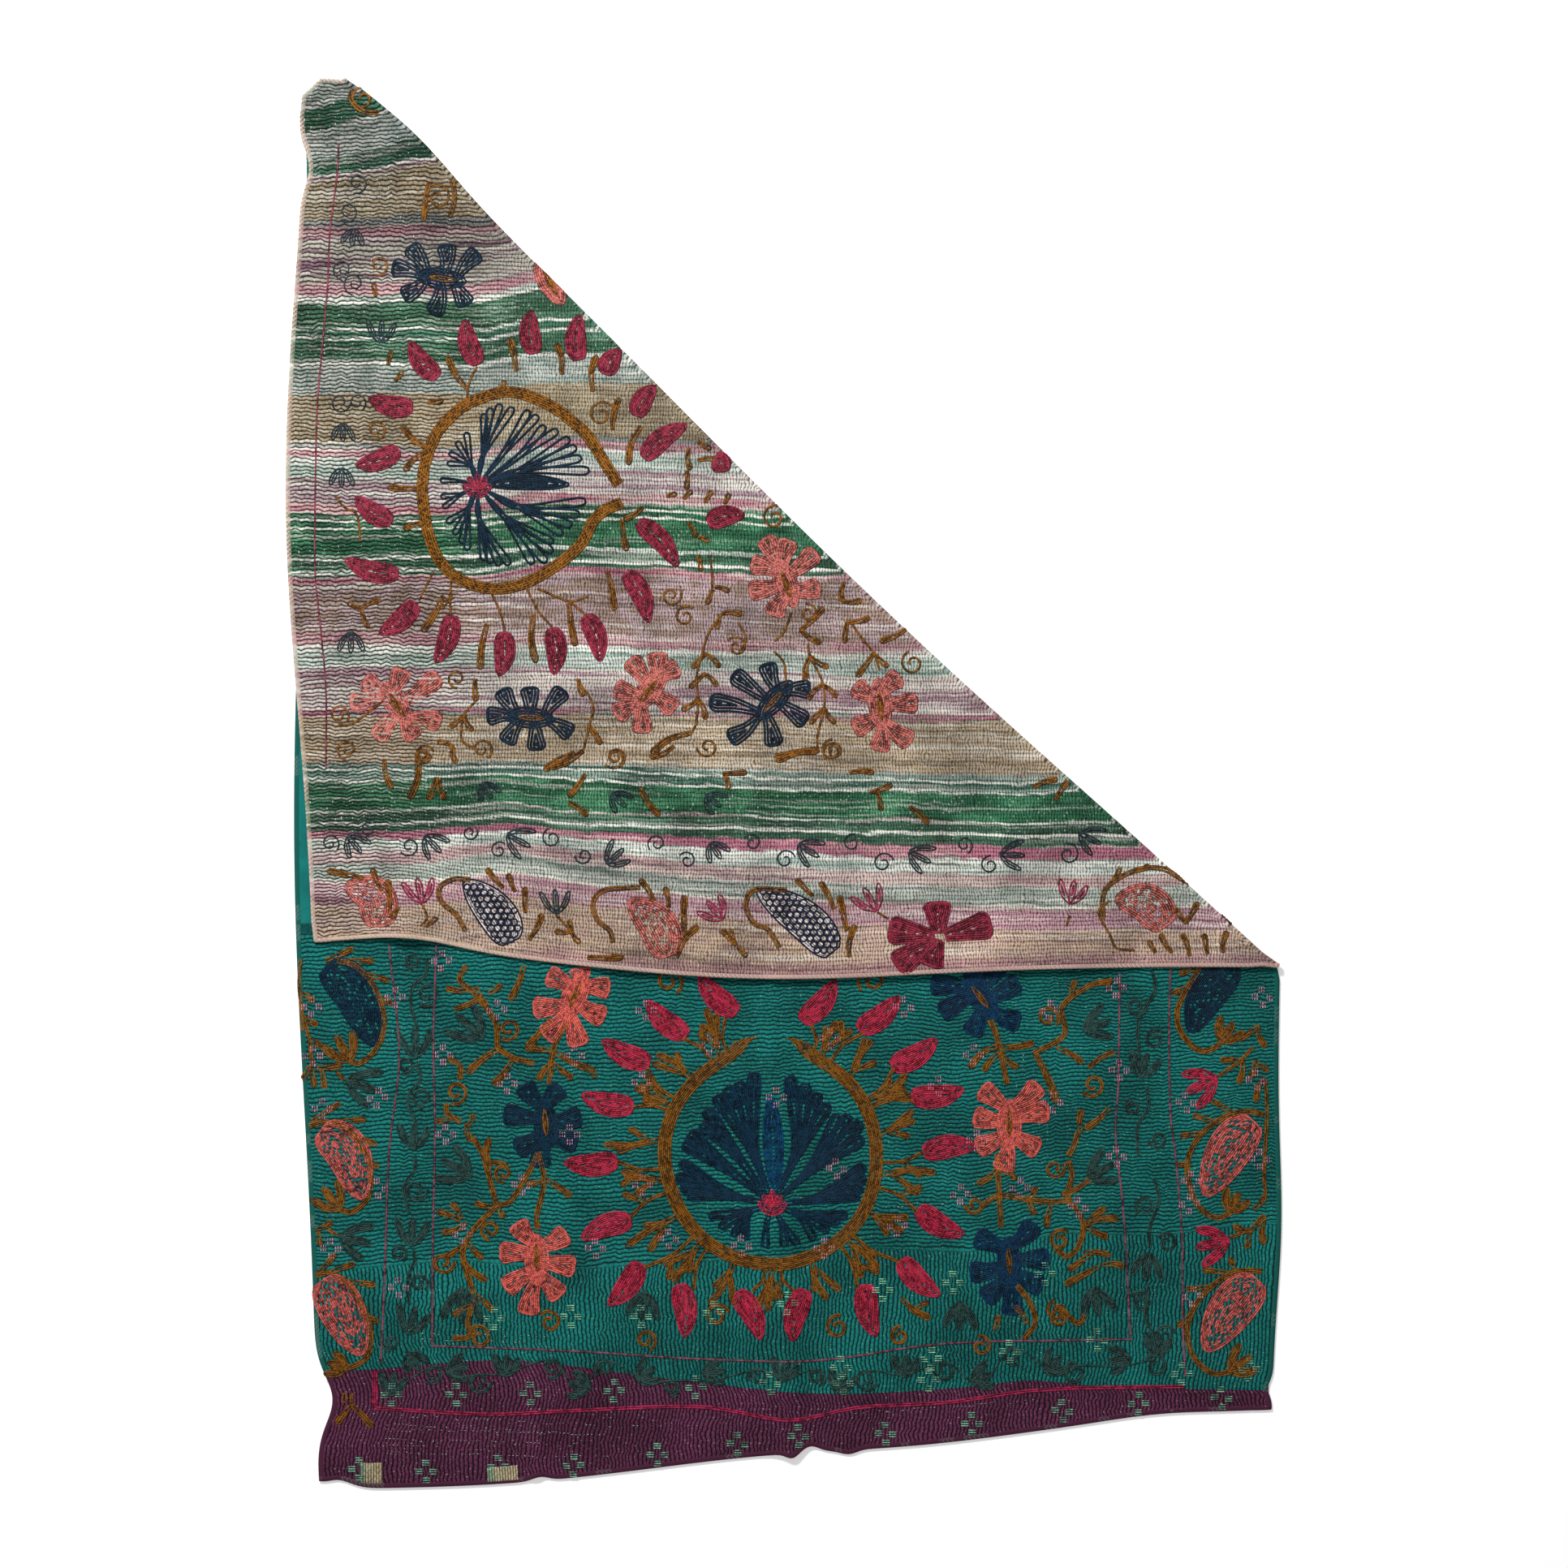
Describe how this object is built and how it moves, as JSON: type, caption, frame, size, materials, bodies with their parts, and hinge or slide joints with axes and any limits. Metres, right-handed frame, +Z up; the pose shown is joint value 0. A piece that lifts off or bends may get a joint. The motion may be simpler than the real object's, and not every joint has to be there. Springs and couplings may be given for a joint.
{
  "type": "embroidered quilted throw, folded over on the diagonal",
  "caption": "Flat quilted cotton throw with chain-stitch embroidery, laid out with its upper half folded over so that the striped back shows.",
  "frame": {"origin": "on the floor, under the middle of the bounding box", "axes": "+X along the bottom hem to the right as seen from above, +Y along the uncovered left side towards the folded tip, +Z up, from the striped back to the face"},
  "size_m": [1.4729, 2.0875, 0.0196],
  "materials": {
    "striped_cotton": "woven striped cotton, quilted in close running stitch, matte",
    "teal_cotton": "plain teal cotton, quilted in close running stitch and embroidered in chain stitch, matte",
    "plum_cotton": "plum cotton with small woven figures, quilted in close running stitch, matte",
    "cream_cotton": "worn cream cotton, matte"
  },
  "bodies": {
    "root": {"backing": "striped_cotton", "face_panel": "teal_cotton", "end_band": "plum_cotton", "mend_left": "cream_cotton", "mend_right": "cream_cotton"}
  },
  "joints": []
}
